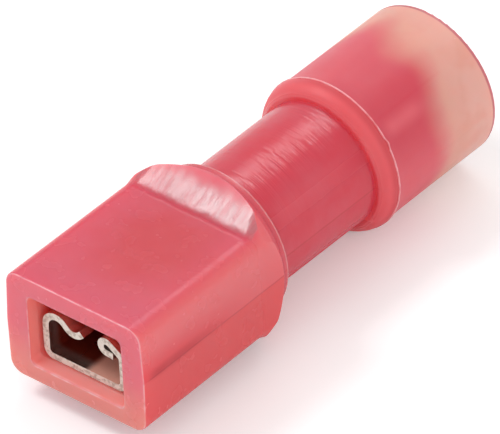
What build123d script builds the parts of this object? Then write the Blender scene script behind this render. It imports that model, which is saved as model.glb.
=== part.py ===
from build123d import *
import math
import os

# Female spade terminal, fully insulated, sizes in millimetres.
# Y runs along the neck's axis from the tab mouth (y = 0) to the wire entry, X is the width, Z is up.
# The rolled edges of the contact face up, and its flat floor faces down.

# The male tab it takes, and the play the tab has in the contact
tab_width = 2.8
tab_thickness = 0.8
tab_side_play = 0.21
tab_play = 0.02

# Fits between contact and housing
seat_clearance = 0.02
bore_clearance = 0.03
side_clearance = 0.14
roof_clearance = 0.55

# Contact, one strip of tinned brass, its heights taken from the underside of its floor
strip = 0.28
contact_front = 0.48
receptacle_length = 5.9
fold_inside = 0.14
left_wall_height = 1.45
left_roll_inside = 0.36
left_roll_turn = 134.0
left_leg = 0.2
left_tip_radius = 0.3
left_tip_turn = 88.0
left_tip_run = 0.1
right_wall_height = 1.38
right_roll_inside = 0.16
right_roll_turn = 55.0
right_arm = 0.52
right_curl_inside = 0.11
right_curl_turn = 210.0
right_return = 0.32
transition_length = 1.9
channel_height = 0.86
channel_dip = 0.35
barrel_radius = 1.31
barrel_length = 5.3
barrel_seam = 0.07
tongue_width = 1.1
tongue_length = 3.2
tongue_tip_rise = 0.1
tongue_start = 1.2
tongue_gap = 0.12

# Housing, inside
flare_side = 0.13
flare_top = 0.12
flare_bottom = 0.26
flare_depth = 0.4
cavity_corner = 0.22
collar_bore_radius = 2.42
funnel_length = 2.69
bore_edge = 0.1

# Housing, walls and outside
side_wall = 0.945
top_wall = 0.784
bottom_wall = 0.645
side_draft = 0.02
top_draft = 0.015
bottom_draft = 0.03
top_taper = 0.04
parting_bulge = 0.06
parting_height = 0.05
front_corner = 0.55
back_corner = 0.56
front_edge = 0.09
land_width = 0.24
land_setback = 0.29
land_step = 0.5
land_edge = 0.2
rim_edge = 0.08
cone_angle = 45.0
ramp_over = 0.19
ramp_corner = 1.2
crest_reach = 0.53
crest_flare = 0.2
crest_edge = 0.36
neck_wall = 1.185
shoulder_setback = 0.195
shoulder_length = 0.635
shoulder_drop = 0.41
shoulder_fullness = 0.78
bead_height = 0.062
bead_fade = 0.6
flash_height = 0.02
flash_width = 0.05
collar_wall = 0.597
collar_length = 5.49
collar_draft = 0.01
end_edge = 0.11

# Contact, worked out from the sizes above
floor_under = -barrel_radius
receptacle_width = tab_width + 2 * (tab_side_play + strip)
wall_face = receptacle_width / 2
fold_radius = fold_inside + strip
left_roll_radius = left_roll_inside + strip
right_roll_radius = right_roll_inside + strip
right_curl_radius = right_curl_inside + strip
receptacle_end = contact_front + receptacle_length
barrel_start = receptacle_end + transition_length
barrel_end = barrel_start + barrel_length
barrel_bore_radius = barrel_radius - strip
channel_top = floor_under + channel_height


def across(y):
    """The plane square to the neck's axis at y, with X to the right and Z up."""
    return Plane.XZ.offset(-y)


def right_fold(depth):
    """Right half of the folded strip at a depth below its outer face: floor, wall and closed curl."""
    with BuildLine() as fold:
        floor = Line((0, floor_under + depth), (wall_face - fold_radius, floor_under + depth))
        corner = JernArc(floor @ 1, (1, 0), fold_radius - depth, 90)
        wall = Line(corner @ 1, (wall_face - depth, floor_under + right_wall_height))
        roll = JernArc(wall @ 1, (0, 1), right_roll_radius - depth, right_roll_turn)
        arm = PolarLine(roll @ 1, right_arm, direction=roll % 1)
        curl = JernArc(arm @ 1, arm % 1, right_curl_radius - depth, right_curl_turn)
        PolarLine(curl @ 1, right_return, direction=curl % 1)
    return fold.wire()


def left_fold(depth):
    """Left half of the folded strip at a depth below its outer face: floor, wall and open hook."""
    with BuildLine() as fold:
        floor = Line((0, floor_under + depth), (fold_radius - wall_face, floor_under + depth))
        corner = JernArc(floor @ 1, (-1, 0), fold_radius - depth, -90)
        wall = Line(corner @ 1, (depth - wall_face, floor_under + left_wall_height))
        roll = JernArc(wall @ 1, (0, 1), left_roll_radius - depth, -left_roll_turn)
        leg = PolarLine(roll @ 1, left_leg, direction=roll % 1)
        tip = JernArc(leg @ 1, leg % 1, left_tip_radius + depth, left_tip_turn)
        PolarLine(tip @ 1, left_tip_run, direction=tip % 1)
    return fold.wire()


def strip_section(fold):
    """Section of half the strip, between its outer face and its inner face."""
    outer = fold(0)
    inner = fold(strip)
    with BuildSketch() as section:
        with BuildLine():
            add(outer)
            add(inner)
            Line(outer @ 0, inner @ 0)
            Line(outer @ 1, inner @ 1)
        make_face()
    return section.sketch


# The tab lies between the crest of the tongue and the lower of the two rolled edges
curl_end = right_fold(0) @ 1
hook_tip = left_fold(strip).edges().filter_by(GeomType.CIRCLE).sort_by(Axis.X)[-1]
tab_roof = min(curl_end.Y, hook_tip.bounding_box().min.Y)
tongue_rise = tab_roof - tab_play - tab_thickness - strip - floor_under
tongue_root = contact_front + tongue_start + tongue_length
tongue_tip = contact_front + tongue_start + tongue_gap
tongue_crest = (tongue_root + tongue_tip) / 2

# Housing, worked out from the sizes above
receptacle_top = max(fold(0).bounding_box().max.Y for fold in (right_fold, left_fold))
cavity_half_width = wall_face + side_clearance
cavity_top = receptacle_top + roof_clearance
cavity_floor = seat_clearance - floor_under
cavity_end = receptacle_end + seat_clearance
mouth_half_width = cavity_half_width + flare_side
mouth_top = cavity_top + flare_top
mouth_floor = cavity_floor + flare_bottom
front_half_width = mouth_half_width + side_wall
front_top = mouth_top + top_wall
front_bottom = mouth_floor + bottom_wall
back_half_width = front_half_width - side_draft
back_top = front_top - top_draft
back_bottom = front_bottom - bottom_draft
box_length = receptacle_end
neck_bore_radius = barrel_radius + bore_clearance
neck_radius = neck_bore_radius + neck_wall
rim_end = barrel_start - land_setback
rim_start = rim_end - land_width
rim_radius = neck_radius + land_step
crest_radius = rim_radius + crest_reach
crest_start = rim_start - crest_reach / math.tan(math.radians(cone_angle))
ramp_end_height = rim_radius + ramp_over
shoulder_start = barrel_end - shoulder_setback
crease_start = shoulder_start + shoulder_length
funnel_end = barrel_end + funnel_length
collar_radius = collar_bore_radius + collar_wall
collar_end_radius = collar_radius - collar_draft
bead_radius = collar_radius + bead_height
shoulder_radius = bead_radius - shoulder_drop
bead_start = crease_start + flash_width
overall_length = crease_start + collar_length


def box_outline(half_width, top, bottom, corner):
    """Outline of the tab housing: flat top and bottom, drafted sides that meet at the parting line."""
    with BuildSketch() as outline:
        with BuildLine():
            Polyline(
                (half_width - top_taper, top),
                (half_width + parting_bulge, parting_height),
                (half_width, -bottom),
                (-half_width, -bottom),
                (-half_width - parting_bulge, parting_height),
                (top_taper - half_width, top),
                close=True,
            )
        make_face()
        fillet(outline.vertices().filter_by(lambda v: abs(v.X) < half_width + parting_bulge / 2), corner)
    return outline.sketch


def cavity_outline(half_width, top, bottom):
    """Outline of the tab cavity at one depth."""
    with BuildSketch() as outline:
        with Locations((0, (top - bottom) / 2)):
            RectangleRounded(2 * half_width, top + bottom, cavity_corner)
    return outline.sketch


# Insulating housing, one nylon moulding: the ramps and the turned back of the box first
with BuildPart() as shoulder_block:
    # The box carries on through the ramps, its top and bottom rising past the rim
    with BuildSketch(across(box_length)):
        add(box_outline(back_half_width, back_top, back_bottom, back_corner))
    with BuildSketch(across(rim_end)):
        add(box_outline(back_half_width, ramp_end_height, ramp_end_height, ramp_corner))
    loft(ruled=True)
    # The back is turned: a rounded crest at the corners, a cone, then a narrow round land
    with BuildSketch(Plane.XY) as turned_back:
        with BuildLine():
            Polyline(
                (0, box_length),
                (crest_radius + crest_flare, box_length),
                (crest_radius, crest_start),
                (rim_radius, rim_start),
                (rim_radius, rim_end),
                (0, rim_end),
                close=True,
            )
        make_face()
        profile = turned_back.vertices()
        fillet(profile.filter_by_position(Axis.Y, crest_start, crest_start), crest_edge)
        fillet(profile.filter_by_position(Axis.Y, rim_start, rim_start), land_edge)
        fillet(profile.filter_by_position(Axis.Y, rim_end, rim_end).sort_by(Axis.X)[-1], rim_edge)
    revolve(axis=Axis.Y, mode=Mode.INTERSECT)

with BuildPart() as insulating_housing:
    with BuildSketch(across(0)):
        add(box_outline(front_half_width, front_top, front_bottom, front_corner))
    with BuildSketch(across(box_length)):
        add(box_outline(back_half_width, back_top, back_bottom, back_corner))
    loft(ruled=True)
    add(shoulder_block.part)

    # Neck, rounded shoulder with its flash line and low bead, and collar
    with BuildSketch(Plane.XY):
        with BuildLine():
            Polyline((0, rim_start), (neck_radius, rim_start), (neck_radius, shoulder_start))
            Line((neck_radius, shoulder_start), (shoulder_radius, shoulder_start))
            ThreePointArc(
                (shoulder_radius, shoulder_start),
                (shoulder_radius + shoulder_fullness * shoulder_drop, shoulder_start + shoulder_length / 2),
                (bead_radius, crease_start),
            )
            Polyline(
                (bead_radius, crease_start),
                (bead_radius + flash_height, crease_start),
                (bead_radius + flash_height, bead_start),
                (bead_radius, bead_start),
            )
            ThreePointArc(
                (bead_radius, bead_start),
                (collar_radius + bead_height / 4, bead_start + bead_fade / 2),
                (collar_radius, bead_start + bead_fade),
            )
            Polyline(
                (collar_radius, bead_start + bead_fade),
                (collar_end_radius, overall_length),
                (0, overall_length),
                (0, rim_start),
            )
        make_face()
    revolve(axis=Axis.Y)

    # Tab cavity with its flared mouth
    with BuildSketch(across(0)):
        add(cavity_outline(mouth_half_width, mouth_top, mouth_floor))
    with BuildSketch(across(flare_depth)):
        add(cavity_outline(cavity_half_width, cavity_top, cavity_floor))
    loft(ruled=True, mode=Mode.SUBTRACT)
    with BuildSketch(across(flare_depth)):
        add(cavity_outline(cavity_half_width, cavity_top, cavity_floor))
    extrude(amount=-(cavity_end - flare_depth), mode=Mode.SUBTRACT)

    # Throat: the cavity narrows round the contact's transition
    with BuildSketch(across(cavity_end)):
        RectangleRounded(receptacle_width + 2 * bore_clearance, 2 * neck_bore_radius, fold_radius)
    with BuildSketch(across(barrel_start)):
        Circle(neck_bore_radius)
    loft(mode=Mode.SUBTRACT)

    # Neck bore, funnel and collar bore
    with BuildSketch(Plane.XY):
        with BuildLine():
            Polyline(
                (0, barrel_start),
                (neck_bore_radius, barrel_start),
                (neck_bore_radius, barrel_end),
                (collar_bore_radius, funnel_end),
                (collar_bore_radius, overall_length),
                (0, overall_length),
                close=True,
            )
        make_face()
    revolve(axis=Axis.Y, mode=Mode.SUBTRACT)

    # Moulded edges: the front face, and the lip and bore of the wire entry
    fillet(insulating_housing.faces().sort_by(Axis.Y)[0].edges(), front_edge)
    entry_edges = insulating_housing.edges().filter_by_position(Axis.Y, overall_length, overall_length)
    fillet(entry_edges.sort_by(SortBy.RADIUS)[-1], end_edge)
    fillet(entry_edges.sort_by(SortBy.RADIUS)[0], bore_edge)

# Spade contact, one folded strip of tinned brass
with BuildPart() as spade_contact:
    # Receptacle: flat floor, two walls, an open hook on the left and a closed curl on the right
    with BuildSketch(across(contact_front)):
        add(strip_section(right_fold))
        add(strip_section(left_fold))
    extrude(amount=-receptacle_length)

    # Transition: the channel narrows and closes into the barrel
    with BuildSketch(across(receptacle_end)):
        RectangleRounded(receptacle_width, 2 * barrel_radius, fold_radius)
    with BuildSketch(across(barrel_start)):
        Circle(barrel_radius)
    loft()
    with BuildSketch(across(receptacle_end)):
        RectangleRounded(receptacle_width - 2 * strip, 2 * barrel_bore_radius, fold_inside)
    with BuildSketch(across(barrel_start)):
        Circle(barrel_bore_radius)
    loft(mode=Mode.SUBTRACT)
    with BuildSketch(Plane.YZ):
        with BuildLine():
            dip = ThreePointArc(
                (receptacle_end, channel_top),
                (receptacle_end + transition_length / 2, channel_top + channel_dip),
                (barrel_start, barrel_radius),
            )
            Polyline(dip @ 1, (receptacle_end, barrel_radius), dip @ 0)
        make_face()
    extrude(amount=wall_face, both=True, mode=Mode.SUBTRACT)

    # Wire barrel, rolled until its edges meet in a seam along the top, open to the channel
    with BuildSketch(across(barrel_start)):
        Circle(barrel_radius)
        Circle(barrel_bore_radius, mode=Mode.SUBTRACT)
    extrude(amount=-barrel_length)
    with BuildSketch(Plane.XY):
        with Locations((0, (receptacle_end + barrel_end) / 2)):
            Rectangle(barrel_seam, barrel_end - receptacle_end)
    extrude(amount=barrel_radius, mode=Mode.SUBTRACT)

    # Spring tongue lanced up from the floor, its root at the back
    with BuildSketch(Plane.XY.offset(floor_under)):
        with Locations((0, tongue_root - tongue_length / 2)):
            Rectangle(tongue_width + 2 * tongue_gap, tongue_length)
    extrude(amount=strip, mode=Mode.SUBTRACT)
    with BuildSketch(Plane.YZ):
        with BuildLine():
            under = ThreePointArc(
                (tongue_root, floor_under),
                (tongue_crest, floor_under + tongue_rise),
                (tongue_tip, floor_under + tongue_tip_rise),
            )
            over = ThreePointArc(
                (tongue_root, floor_under + strip),
                (tongue_crest, floor_under + strip + tongue_rise),
                (tongue_tip, floor_under + strip + tongue_tip_rise),
            )
            Line(under @ 0, over @ 0)
            Line(under @ 1, over @ 1)
        make_face()
    extrude(amount=tongue_width / 2, both=True)

spade_contact.part.label = "spade_contact"
insulating_housing.part.label = "insulating_housing"
os.makedirs("parts", exist_ok=True)
export_step(insulating_housing.part, "parts/insulating_housing.step")
export_step(spade_contact.part, "parts/spade_contact.step")
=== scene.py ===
import math

import bpy
from mathutils import Matrix, Vector


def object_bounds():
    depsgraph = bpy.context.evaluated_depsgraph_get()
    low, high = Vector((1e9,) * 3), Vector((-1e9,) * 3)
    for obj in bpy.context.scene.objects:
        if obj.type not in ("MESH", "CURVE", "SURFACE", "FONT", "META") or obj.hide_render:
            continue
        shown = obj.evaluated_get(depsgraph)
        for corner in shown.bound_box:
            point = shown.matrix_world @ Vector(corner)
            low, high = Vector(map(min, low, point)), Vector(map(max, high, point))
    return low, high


# Female spade terminal in translucent red nylon. Metres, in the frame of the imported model:
# Y runs from the tab mouth to the wire entry, X is the width, Z is up.
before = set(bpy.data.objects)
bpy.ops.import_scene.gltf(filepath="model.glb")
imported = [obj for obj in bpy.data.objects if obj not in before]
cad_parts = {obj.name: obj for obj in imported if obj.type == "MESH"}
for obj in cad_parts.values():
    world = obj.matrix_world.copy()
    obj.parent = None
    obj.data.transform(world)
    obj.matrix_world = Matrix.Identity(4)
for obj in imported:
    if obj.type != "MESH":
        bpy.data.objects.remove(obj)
cad_low, cad_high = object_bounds()
MM = 0.001

# Camera, as fitted to the outline of the object in the photograph
PHOTO_WIDTH = 500
SENSOR_MM = 36.0
CAMERA_AZIMUTH = 42.222
CAMERA_ELEVATION = 37.990
CAMERA_ROLL = -3.502
CAMERA_DISTANCE = 560 * MM
PIXELS_PER_MM = 28.408
AIM_POINT = Vector((0.0, 9.3, 0.0)) * MM
AIM_RIGHT = 0.126 * MM
AIM_UP = 0.103 * MM

# Studio
SKY_LIGHT = 0.80
FLOOR_SIZE = 1.6
FLOOR_WHITE = (0.96, 0.96, 0.96, 1)
FLOOR_LIFT = 0.22
LAMP_DISTANCE = 160 * MM

# Places on the terminal that the finish follows, in millimetres
MOUTH_HALF_WIDTH = 2.14
MOUTH_HALF_HEIGHT = 1.5
MOUTH_MIDDLE = -0.06
CONTACT_FRONT = 0.48
PAINTED_REFLECTION_TOP = -0.9
PARTING_HEIGHT = 0.05
CORE_X = 0.3
CORE_Y = 4.0
CORE_HALF_WIDTH = 2.5
CORE_HALF_LENGTH = 2.9
RAMP_START = 6.38
RAMP_SLOPE = 0.607
RAMP_SOFTNESS = 0.26
LAND_START = 7.72
NECK_START = 8.0
SHOULDER = 13.4
SHOULDER_END = 13.9
FLASH = 14.045
COLLAR_START = 14.1
THIN_WALL_START = 15.7
THIN_WALL_FULL = 17.5
COLLAR_END = 19.51

# Places round the neck's axis, in degrees from the top and positive to the right
LEFT_REACH = -18.0
RIGHT_REACH = 27.0
COLLAR_STREAK = 41.0
COLLAR_PATCH = 51.0
NECK_PATCH = 56.0
FLASH_KINK = 58.0

# Tones of the nylon: deep where it is solid, pale and salmon where the wall is thin, with some painted
# highlights and painted shade, marked below
BOX_PINK = (0.68, 0.058, 0.104)
BOX_CORE = (0.64, 0.028, 0.050)
BOX_FRONT = (0.64, 0.060, 0.114)
SIDE_PALE = (0.80, 0.150, 0.165)
# Painted shade on the sides above the parting line
SIDE_SHADE = (0.74, 0.052, 0.070)
SIDE_LOWER = (0.76, 0.082, 0.090)
RIM_PINK = (0.74, 0.140, 0.190)
RIM_SALMON = (0.80, 0.240, 0.210)
MOUTH_ORANGE = (0.90, 0.225, 0.200)
# Painted highlight on the front edges
EDGE_HIGHLIGHT = (0.92, 0.560, 0.590)
FLASH_PINK = (0.92, 0.400, 0.440)
# The dark parting line, and the painted shade just above it
PARTING_LINE_AND_SHADE_RED = (0.50, 0.018, 0.030)
NECK_RED = (0.67, 0.036, 0.068)
# Ramp band: partly its own satin tone, partly a painted highlight
RAMP_FROST_AND_HIGHLIGHT = (0.48, 0.168, 0.190)
LAND_RED = (0.60, 0.070, 0.105)
SHOULDER_RED = (0.65, 0.062, 0.080)
SHOULDER_PINK = (0.78, 0.100, 0.120)
COLLAR_RED = (0.66, 0.060, 0.095)
COLLAR_PINK = (0.79, 0.135, 0.170)
COLLAR_SALMON = (0.75, 0.320, 0.240)
COLLAR_REAR = (0.82, 0.440, 0.370)
RIM_MAUVE = (0.44, 0.090, 0.140)
SPECK_PALE = (0.90, 0.560, 0.580)

# Tones of the tin-plated contact, with painted shade and painted reflections inside it
TIN = (0.74, 0.70, 0.63)
TIN_EDGE = (0.80, 0.77, 0.70)
# Painted shade deep inside the strip, tinted as a painted reflection of the nylon
TIN_SHADE_AND_REFLECTION = (0.38, 0.050, 0.025)
TIN_BURR = (0.54, 0.49, 0.42)
# Painted reflection of the lit nylon on the floor of the strip
TIN_PAINTED_REFLECTION = (0.96, 0.52, 0.40)
# Painted reflection tint on the tin, standing for the red nylon round it
TIN_REFLECTION_TINT = (1.0, 0.5, 0.4)

# Roughness of the nylon from place to place, and how light goes through it
BOX_ROUGHNESS = 0.26
MOUTH_ROUGHNESS = 0.55
CREST_ROUGHNESS = 0.42
FROST_ROUGHNESS = 0.20
NECK_ROUGHNESS = 0.20
SHOULDER_ROUGHNESS = 0.50
COLLAR_ROUGHNESS = 0.42
ROUGHNESS_RANGE = 0.14
NYLON_IOR = 1.53
NYLON_SCATTER = 0.7
SCATTER_RADIUS = (1.0, 0.35, 0.28)
SCATTER_DEPTH = 2.0 * MM

# Heights of the fine relief, in millimetres
RAMP_STREAKS = 0.012
NECK_MARKS = 0.016
NYLON_GRAIN = 0.0008
NYLON_WAVES = 0.012
TIN_SCRATCHES = 0.0005
SHEARED_GRAIN = 0.02
TIN_WAVES = 0.01


def camera_axes(azimuth, elevation, roll):
    """Right, up and back of a camera that looks from an azimuth and elevation, in degrees."""
    a, e, r = (math.radians(v) for v in (azimuth, elevation, roll))
    back = Vector((math.sin(a) * math.cos(e), -math.cos(a) * math.cos(e), math.sin(e)))
    level = Vector((0, 0, 1)).cross(back).normalized()
    upright = back.cross(level)
    right = math.cos(r) * level + math.sin(r) * upright
    up = math.cos(r) * upright - math.sin(r) * level
    return right, up, back


def make_camera():
    right, up, back = camera_axes(CAMERA_AZIMUTH, CAMERA_ELEVATION, CAMERA_ROLL)
    camera = bpy.data.objects.new("camera", bpy.data.cameras.new("camera"))
    bpy.context.scene.collection.objects.link(camera)
    aim = AIM_POINT + AIM_RIGHT * right + AIM_UP * up
    turn = Matrix((right, up, back)).transposed().to_4x4()
    camera.matrix_world = Matrix.Translation(aim + CAMERA_DISTANCE * back) @ turn
    camera.data.sensor_width = SENSOR_MM
    camera.data.lens = SENSOR_MM * (CAMERA_DISTANCE / MM) * PIXELS_PER_MM / PHOTO_WIDTH
    camera.data.clip_start = CAMERA_DISTANCE / 10
    camera.data.clip_end = CAMERA_DISTANCE * 3
    bpy.context.scene.camera = camera


def softbox(name, direction, width, height, power):
    """A plain area lamp that faces the middle of the terminal."""
    lamp = bpy.data.lights.new(name, "AREA")
    lamp.shape = "RECTANGLE"
    lamp.size = width
    lamp.size_y = height
    lamp.energy = power
    holder = bpy.data.objects.new(name, lamp)
    bpy.context.scene.collection.objects.link(holder)
    away = Vector(direction).normalized()
    turn = away.to_track_quat("Z", "Y").to_matrix().to_4x4()
    holder.matrix_world = Matrix.Translation(AIM_POINT + away * LAMP_DISTANCE) @ turn


def make_lamps():
    softbox("ramp_softbox", (-0.53, -0.28, 0.80), width=45 * MM, height=45 * MM, power=0.075)
    softbox("neck_softbox", (-0.240, 0.584, 0.775), width=120 * MM, height=22 * MM, power=0.034)
    softbox("side_fill", (0.88, -0.38, 0.28), width=200 * MM, height=200 * MM, power=0.075)


def make_world():
    """An even white sky: white where it is seen or mirrored, and a plain level where it only lights."""
    world = bpy.data.worlds.new("studio")
    bpy.context.scene.world = world
    world.use_nodes = True
    nodes, links = world.node_tree.nodes, world.node_tree.links
    nodes.clear()
    out = nodes.new("ShaderNodeOutputWorld")
    sky = nodes.new("ShaderNodeBackground")
    paths = nodes.new("ShaderNodeLightPath")
    seen = nodes.new("ShaderNodeMath")
    seen.operation = "MAXIMUM"
    seen_too = nodes.new("ShaderNodeMath")
    seen_too.operation = "MAXIMUM"
    level = nodes.new("ShaderNodeMapRange")
    level.inputs["To Min"].default_value = SKY_LIGHT
    level.inputs["To Max"].default_value = 1.0
    links.new(paths.outputs["Is Camera Ray"], seen.inputs[0])
    links.new(paths.outputs["Is Glossy Ray"], seen.inputs[1])
    links.new(seen.outputs[0], seen_too.inputs[0])
    links.new(paths.outputs["Is Transmission Ray"], seen_too.inputs[1])
    links.new(seen_too.outputs[0], level.inputs["Value"])
    links.new(level.outputs["Result"], sky.inputs["Strength"])
    links.new(sky.outputs["Background"], out.inputs["Surface"])


def make_floor():
    bpy.ops.object.select_all(action="DESELECT")
    bpy.ops.mesh.primitive_plane_add(size=FLOOR_SIZE, location=(0, AIM_POINT.y, cad_low.z))
    floor = bpy.context.object
    floor.name = "floor"
    material = bpy.data.materials.new("pale_floor")
    material.use_nodes = True
    shader = material.node_tree.nodes["Principled BSDF"]
    shader.inputs["Base Color"].default_value = FLOOR_WHITE
    shader.inputs["Roughness"].default_value = 0.9
    shader.inputs["Specular IOR Level"].default_value = 0.1
    # Seen by the camera, it shows a little above its light, so that it is white where no shadow lies
    paths = material.node_tree.nodes.new("ShaderNodeLightPath")
    lift = material.node_tree.nodes.new("ShaderNodeMath")
    lift.operation = "MULTIPLY"
    lift.inputs[1].default_value = FLOOR_LIFT
    material.node_tree.links.new(paths.outputs["Is Camera Ray"], lift.inputs[0])
    material.node_tree.links.new(lift.outputs[0], shader.inputs["Emission Strength"])
    shader.inputs["Emission Color"].default_value = (1, 1, 1, 1)
    floor.data.materials.append(material)


class Finish:
    """A material's nodes round its one shader, with every place and width in millimetres on the piece."""

    def __init__(self, name):
        self.material = bpy.data.materials.new(name)
        self.material.use_nodes = True
        self.tree = self.material.node_tree
        self.shader = self.tree.nodes["Principled BSDF"]
        spot = self.add("TexCoord")
        scaled = self.add("VectorMath", {0: spot.outputs["Object"], "Scale": 1 / MM}, operation="SCALE")
        self.place = scaled.outputs[0]
        self.x, self.y, self.z = self.add("SeparateXYZ", {0: self.place}).outputs
        self.face_x, self.face_y, self.face_z = self.add("SeparateXYZ", {0: spot.outputs["Normal"]}).outputs

    def add(self, kind, inputs=None, **settings):
        made = self.tree.nodes.new("ShaderNode" + kind)
        for key, value in settings.items():
            setattr(made, key, value)
        for key, value in (inputs or {}).items():
            self.feed(made.inputs[key], value)
        return made

    def feed(self, socket, value):
        if isinstance(value, bpy.types.NodeSocket):
            self.tree.links.new(value, socket)
        elif isinstance(value, tuple) and socket.type == "RGBA":
            socket.default_value = (*value, 1)
        else:
            socket.default_value = value

    def set(self, name, value):
        self.feed(self.shader.inputs[name], value)

    def maths(self, operation, *values):
        return self.add("Math", dict(enumerate(values)), operation=operation).outputs[0]

    def times(self, *values):
        """Product of several values."""
        product = values[0]
        for value in values[1:]:
            product = self.maths("MULTIPLY", product, value)
        return product

    def total(self, *values):
        """Sum of several values."""
        result = values[0]
        for value in values[1:]:
            result = self.maths("ADD", result, value)
        return result

    def apart(self, value, middle=0.0):
        """How far a value is from a middle, to either side."""
        return self.maths("ABSOLUTE", self.maths("SUBTRACT", value, middle))

    def around(self):
        """Angle round the neck's axis in degrees: 0 at the top, 90 on the right."""
        return self.times(self.maths("ARCTAN2", self.x, self.z), 180 / math.pi)

    def rise(self, value, start, end, low=0.0, high=1.0):
        """Goes smoothly from low at start to high at end."""
        inputs = {"Value": value, "From Min": start, "From Max": end, "To Min": low, "To Max": high}
        return self.add("MapRange", inputs, interpolation_type="SMOOTHSTEP").outputs["Result"]

    def band(self, value, middle, half_width):
        """One at the middle, falling smoothly to nothing at a half width to either side."""
        return self.rise(self.apart(value, middle), half_width, 0.0)

    def stretch(self, x, y, z):
        """The place, stretched along the axes."""
        return self.add("VectorMath", {0: self.place, 1: (x, y, z)}, operation="MULTIPLY").outputs[0]

    def noise(self, scale, detail=2.0, where=None):
        inputs = {"Vector": where or self.place, "Scale": scale, "Detail": detail}
        return self.add("TexNoise", inputs).outputs["Fac"]

    def waver(self, amount, scale, detail=2.0):
        """Uneven from place to place, by up to half the amount to either side of nothing."""
        return self.times(self.total(self.noise(scale, detail), -0.5), amount)

    def blend(self, factor, first, second):
        """Goes from a first number to a second as the factor goes from nothing to one."""
        return self.add("MapRange", {"Value": factor, "To Min": first, "To Max": second}).outputs["Result"]

    def mix(self, factor, first, second):
        """Goes from a first colour to a second as the factor goes from nothing to one."""
        made = self.add("Mix", data_type="RGBA")
        self.feed(made.inputs["Factor"], factor)
        colours = [s for s in made.inputs if s.type == "RGBA"]
        self.feed(colours[0], first)
        self.feed(colours[1], second)
        return next(s for s in made.outputs if s.type == "RGBA")

    def bump(self, height):
        """A normal that follows a height in millimetres."""
        return self.add("Bump", {"Height": height, "Distance": MM}).outputs["Normal"]

    def specks(self, spacing, size, share):
        """Scattered fine dots, on a share of the cells of a random net."""
        net = self.add("TexVoronoi", {"Vector": self.place, "Scale": 1 / spacing})
        dot = self.rise(net.outputs["Distance"], size / spacing, 0.5 * size / spacing)
        chosen = self.add("SeparateXYZ", {0: net.outputs["Color"]}).outputs[0]
        return self.times(dot, self.maths("LESS_THAN", chosen, share))


def inside_mouth(f):
    """One on the walls of the tab cavity."""
    return f.times(
        f.rise(f.apart(f.x), MOUTH_HALF_WIDTH + 0.18, MOUTH_HALF_WIDTH),
        f.rise(f.apart(f.z, MOUTH_MIDDLE), MOUTH_HALF_HEIGHT + 0.16, MOUTH_HALF_HEIGHT),
        f.rise(f.y, 0.02, 0.1),
    )


def box_top(f):
    """Tone of the top: deep in a cloudy patch over its middle, paler towards the front edge."""
    across = f.maths("DIVIDE", f.maths("SUBTRACT", f.x, CORE_X), CORE_HALF_WIDTH)
    along = f.maths("DIVIDE", f.maths("SUBTRACT", f.y, CORE_Y), CORE_HALF_LENGTH)
    off_core = f.maths("SQRT", f.total(f.times(across, across), f.times(along, along)))
    core = f.rise(f.total(off_core, f.waver(0.7, 0.5, 3.0)), 1.15, 0.35)
    return f.mix(f.rise(f.y, 2.4, 0.2), f.mix(core, BOX_PINK, BOX_CORE), BOX_FRONT)


def box_side(f):
    """Tone of the sides: pale at the top, with painted shade that deepens towards the parting line, most of
    all in front.
    """
    # Painted shade, growing towards the parting line and strongest in front
    painted_side_shade = f.times(f.rise(f.z, 1.45, 0.15), f.rise(f.y, 6.6, 1.6, 0.25, 1.0))
    upper = f.mix(painted_side_shade, SIDE_PALE, SIDE_SHADE)
    return f.mix(f.rise(f.z, PARTING_HEIGHT - 0.03, PARTING_HEIGHT + 0.03), SIDE_LOWER, upper)


def box_tone(f):
    """Tone of the tab housing."""
    wall = f.rise(f.apart(f.face_x), 0.35, 0.95)
    outside = f.mix(wall, box_top(f), box_side(f))
    # The moulded corners along the top are a little paler
    corner = f.times(f.rise(f.apart(f.face_x), 0.1, 0.5), f.rise(f.face_z, 0.2, 0.7))
    outside = f.mix(f.times(corner, 0.4), outside, SIDE_PALE)
    # Front rim: pink at the top, salmon at the bottom; salmon orange inside the mouth
    front = f.times(f.rise(f.face_y, -0.4, -0.8), f.rise(f.y, 0.2, 0.12))
    rim = f.mix(f.rise(f.z, 0.4, -1.9), RIM_PINK, RIM_SALMON)
    outside = f.mix(front, outside, rim)
    outside = f.mix(inside_mouth(f), outside, MOUTH_ORANGE)
    # Painted highlight: thin pale lines where the front face turns into the sides and into the mouth,
    # broken here and there
    edge_highlight = f.times(f.band(f.apart(f.face_y), 0.70, 0.26), f.rise(f.y, 0.12, 0.09))
    broken = f.rise(f.noise(1.6, 3.0), 0.35, 0.6, 0.2, 1.0)
    return f.mix(f.times(edge_highlight, broken, 0.65), outside, EDGE_HIGHLIGHT)


def ramp_frost_and_highlight(f):
    """One where the ramps are polished by the mould, less towards their crest and their left end; the
    band's pale, greyer tone is partly its own and partly a painted highlight.
    """
    on_ramp = f.rise(f.y, RAMP_START - 0.1, RAMP_START + 0.3)
    sloping = f.rise(f.apart(f.face_z), 0.78, 0.84)
    crest = f.rise(f.total(f.y, f.times(f.noise(0.9, 3.0), 0.5)), 7.9, 7.25)
    streaks = f.rise(f.noise(1.0, 4.0, f.stretch(4.5, 1.0, 1.0)), 0.3, 0.6, 0.6, 1.0)
    return f.times(on_ramp, sloping, crest, streaks, f.rise(f.x, -3.2, 1.6, 0.7, 1.0))


def neck_tone(f, around):
    """Tone of the neck: an even deep red, with a light patch low on its right side."""
    neck = f.mix(f.rise(f.noise(0.5, 3.0), 0.35, 0.65), NECK_RED, COLLAR_RED)
    along = f.times(f.rise(f.y, NECK_START, NECK_START + 1.0), f.rise(f.y, SHOULDER, SHOULDER - 1.9))
    return f.mix(f.times(f.band(around, NECK_PATCH, 18.0), along, 0.35), neck, COLLAR_PINK)


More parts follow.
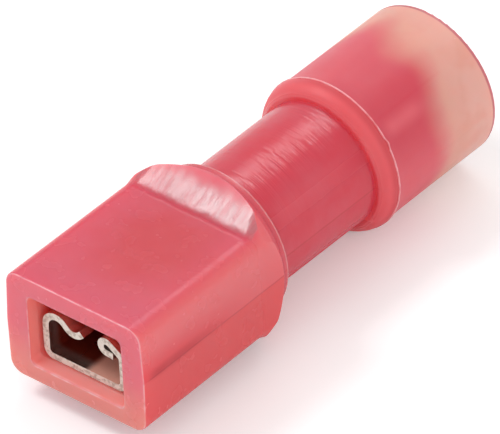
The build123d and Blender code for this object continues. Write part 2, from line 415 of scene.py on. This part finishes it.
def shoulder_tone(f, around):
    """Tone of the rounded shoulder: light where it leaves the neck, then red, and pink on the left."""
    shoulder = f.mix(f.rise(around, 0.0, -60.0), SHOULDER_RED, COLLAR_PINK)
    return f.mix(f.rise(f.y, SHOULDER + 0.25, SHOULDER + 0.5), SHOULDER_PINK, shoulder)


def collar_front(f, around):
    """Tone of the collar over the funnel: red, pinker on the left, where the pink is partly thin-wall tone
    and partly a painted reflection, in one patch and low on its sides.
    """
    # Painted reflection: the pinker band on the upper left is partly thin-wall tone, partly a painted
    # reflection
    front = f.mix(f.rise(f.apart(around, -20.0), 34.0, 6.0, 0.0, 0.6), COLLAR_RED, COLLAR_PINK)
    along = f.times(f.rise(f.y, 14.0, 14.7), f.rise(f.y, 16.8, 15.6))
    patch = f.times(f.band(around, COLLAR_PATCH, 10.0), along, 0.8)
    low = f.times(f.rise(f.apart(around), 58.0, 105.0), 0.7)
    return f.mix(f.total(patch, low), front, COLLAR_PINK)


def collar_rear(f, around):
    """Tone of the collar where only its thin wall is left: salmon, paler towards its end."""
    paler = f.total(
        f.times(f.rise(f.y, 16.8, COLLAR_END), 0.7),
        f.times(f.rise(around, 10.0, 45.0), 0.5),
    )
    rear = f.mix(paler, COLLAR_SALMON, COLLAR_REAR)
    return f.mix(f.rise(f.noise(0.8, 2.0), 0.5, 0.75), rear, f.mix(0.5, rear, COLLAR_SALMON))


def collar_tone(f, around):
    """Tone of the wire collar: the red reaches further back at two places, and the end is mauve."""
    reach = f.total(
        f.times(f.band(around, LEFT_REACH, 38.0), 1.3),
        f.times(f.band(around, RIGHT_REACH, 34.0), 0.7),
    )
    border = f.maths("SUBTRACT", f.total(f.y, f.waver(1.2, 0.4)), reach)
    thin = f.rise(border, THIN_WALL_START, THIN_WALL_FULL)
    tone = f.mix(thin, collar_front(f, around), collar_rear(f, around))
    streak = f.times(f.band(around, COLLAR_STREAK, 2.2), f.rise(f.y, 14.05, 14.4), f.rise(f.y, 18.2, 15.9))
    tone = f.mix(f.times(streak, 0.25), tone, NECK_RED)
    radius = f.maths("SQRT", f.total(f.times(f.x, f.x), f.times(f.z, f.z)))
    rim = f.times(f.rise(f.y, COLLAR_END - 0.22, COLLAR_END - 0.14), f.rise(radius, 2.75, 2.9))
    return f.mix(f.times(rim, 0.85), tone, RIM_MAUVE)


def parting_line_and_shade(f):
    """How much the parting line and the painted shade above it show: a broad band of painted shade along
    the front of the box, and the thin line itself up to the shoulder.
    """
    level = f.maths("SUBTRACT", f.z, f.total(PARTING_HEIGHT, f.waver(0.03, 1.2)))
    # Painted shade: a broad band just above the parting line along the front of the box
    broad_shade = f.times(f.band(level, 0.1, 0.34), f.rise(f.y, 5.4, 1.4), f.rise(f.y, 0.15, 0.7), 0.7)
    along = f.times(f.rise(f.y, 0.1, 0.4), f.rise(f.y, SHOULDER + 0.1, SHOULDER - 0.2))
    thin = f.times(f.band(level, 0.0, 0.06), along, 0.6)
    return f.times(f.total(broad_shade, thin), f.rise(f.apart(f.x), 2.3, 2.45))


def flash_line(f, around):
    """One on the flash line where the mould halves met: thin, a little irregular, with one kink."""
    kink = f.times(f.band(around, FLASH_KINK, 5.0), 0.08)
    wavy = f.maths("SUBTRACT", f.total(f.y, f.waver(0.04, 1.4)), kink)
    return f.times(f.band(wavy, FLASH, 0.06), f.rise(f.noise(2.2), 0.25, 0.55, 0.35, 1.0))


def nylon_roughness(f, frost_and_highlight):
    """Polished neck and ramps, softer box, satin crest, shoulder and collar, dull tab cavity."""
    rough = f.blend(f.rise(f.y, NECK_START - 0.3, NECK_START), BOX_ROUGHNESS, NECK_ROUGHNESS)
    rough = f.blend(f.rise(f.y, SHOULDER_END, COLLAR_START), rough, COLLAR_ROUGHNESS)
    on_ramp = f.times(f.rise(f.y, RAMP_START, RAMP_START + 0.3), f.rise(f.y, NECK_START, LAND_START))
    rough = f.blend(on_ramp, rough, CREST_ROUGHNESS)
    rough = f.blend(frost_and_highlight, rough, FROST_ROUGHNESS)
    on_shoulder = f.times(
        f.rise(f.y, SHOULDER, SHOULDER + 0.15),
        f.rise(f.y, SHOULDER_END + 0.08, SHOULDER_END),
    )
    rough = f.blend(on_shoulder, rough, SHOULDER_ROUGHNESS)
    rough = f.blend(inside_mouth(f), rough, MOUTH_ROUGHNESS)
    return f.total(rough, f.waver(ROUGHNESS_RANGE, 1.4))


def nylon_relief(f):
    """The fine relief of the mould: soft ramp edges, streaks on the ramps, turning marks on the neck."""
    off = f.apart(f.total(f.y, f.waver(0.16, 1.1)), RAMP_START)
    near = f.maths("MAXIMUM", f.maths("SUBTRACT", RAMP_SOFTNESS, off), 0.0)
    on_top = f.rise(f.apart(f.z), 1.5, 2.1)
    softened = f.times(near, near, RAMP_SLOPE / (4 * RAMP_SOFTNESS), on_top)
    on_ramp = f.times(f.rise(f.y, RAMP_START, RAMP_START + 0.2), f.rise(f.y, NECK_START, LAND_START))
    streaks = f.times(f.noise(1.0, 3.0, f.stretch(5.0, 0.8, 0.8)), on_ramp, RAMP_STREAKS)
    on_neck = f.times(f.rise(f.y, NECK_START, NECK_START + 0.2), f.rise(f.y, SHOULDER + 0.1, SHOULDER))
    marks = f.times(f.noise(1.0, 2.0, f.stretch(0.25, 7.0, 0.25)), on_neck, NECK_MARKS)
    grain = f.times(f.noise(4.0, 1.0), NYLON_GRAIN)
    waves = f.times(f.noise(0.6, 1.0), NYLON_WAVES)
    return f.bump(f.total(softened, streaks, marks, grain, waves))


def nylon():
    """Translucent red nylon: its tone follows the thickness of the wall behind each place, with painted
    highlights, a painted reflection and painted shade added.
    """
    f = Finish("red_nylon_moulding")
    around = f.around()
    # The ramps' pale band: partly a satin surface, partly a painted highlight
    frost_and_highlight = ramp_frost_and_highlight(f)
    tone = f.mix(frost_and_highlight, box_tone(f), RAMP_FROST_AND_HIGHLIGHT)
    tone = f.mix(f.rise(f.y, LAND_START - 0.1, LAND_START), tone, LAND_RED)
    tone = f.mix(f.rise(f.y, NECK_START - 0.05, NECK_START + 0.05), tone, neck_tone(f, around))
    tone = f.mix(f.rise(f.y, SHOULDER - 0.15, SHOULDER + 0.05), tone, shoulder_tone(f, around))
    tone = f.mix(f.rise(f.y, FLASH - 0.02, COLLAR_START), tone, collar_tone(f, around))
    # The parting line, with painted shade above it along the front of the box
    tone = f.mix(parting_line_and_shade(f), tone, PARTING_LINE_AND_SHADE_RED)
    tone = f.mix(flash_line(f, around), tone, FLASH_PINK)
    # Faint mottling and a few pale specks
    tone = f.mix(f.rise(f.noise(1.3, 2.0), 0.4, 0.8, 0.0, 0.07), tone, SIDE_PALE)
    tone = f.mix(f.times(f.specks(1.3, 0.03, 0.14), 0.7), tone, SPECK_PALE)
    f.set("Base Color", tone)
    f.set("Roughness", nylon_roughness(f, frost_and_highlight))
    f.set("IOR", NYLON_IOR)
    f.set("Subsurface Weight", NYLON_SCATTER)
    f.set("Subsurface Radius", SCATTER_RADIUS)
    f.set("Subsurface Scale", SCATTER_DEPTH)
    f.set("Normal", nylon_relief(f))
    return f.material


def tin():
    """Tin-plated strip: mottled pale edges at the mouth; inside, painted red-brown shade and painted
    reflections of the nylon.
    """
    f = Finish("bright_tin_plate")
    edge = f.times(f.rise(f.face_y, -0.5, -0.85), f.rise(f.y, CONTACT_FRONT + 0.22, CONTACT_FRONT + 0.02))
    # Painted shade: red-brown the deeper it lies inside the strip, which also stands for its reflection of
    # the nylon
    inside = f.rise(f.y, 0.5, 1.1)
    tone = f.mix(inside, TIN, TIN_SHADE_AND_REFLECTION)
    # Uneven patches of the painted shade colour over the strip
    tone = f.mix(f.rise(f.noise(1.4, 3.0), 0.4, 0.7, 0.0, 0.3), tone, TIN_SHADE_AND_REFLECTION)
    # Painted reflection: the right half of the floor is painted with the lit nylon in front of it, which it
    # mirrors
    upward = f.times(f.rise(f.face_z, 0.6, 0.9), f.rise(f.z, PAINTED_REFLECTION_TOP + 0.1, PAINTED_REFLECTION_TOP))
    painted_reflection = f.times(upward, f.rise(f.x, -0.1, 0.3), f.rise(f.y, 3.4, 2.2))
    tone = f.mix(painted_reflection, tone, TIN_PAINTED_REFLECTION)
    sheared = f.mix(f.rise(f.noise(7.0, 3.0), 0.42, 0.68), TIN_EDGE, TIN_BURR)
    f.set("Base Color", f.mix(edge, tone, sheared))
    f.set("Metallic", f.times(f.blend(inside, 1.0, 0.75), f.total(1.0, f.times(painted_reflection, -0.85))))
    # Painted reflection: the tin's reflections are tinted red-brown, standing for the nylon round it
    f.set("Specular Tint", TIN_REFLECTION_TINT)
    scratches = f.noise(1.0, 2.0, f.stretch(6.0, 0.9, 6.0))
    f.set("Roughness", f.total(f.times(scratches, 0.1), f.times(edge, 0.25), 0.24))
    grain = f.times(f.noise(6.0, 2.0), edge, SHEARED_GRAIN)
    waves = f.times(f.noise(1.2), TIN_WAVES)
    f.set("Normal", f.bump(f.total(f.times(scratches, TIN_SCRATCHES), grain, waves)))
    return f.material


def dress(node, material):
    """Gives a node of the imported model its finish."""
    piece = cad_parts[node]
    piece.data.materials.clear()
    piece.data.materials.append(material)


bpy.context.scene.view_settings.view_transform = "Standard"
make_camera()
make_world()
make_floor()
make_lamps()
dress("insulating_housing", nylon())
dress("spade_contact", tin())
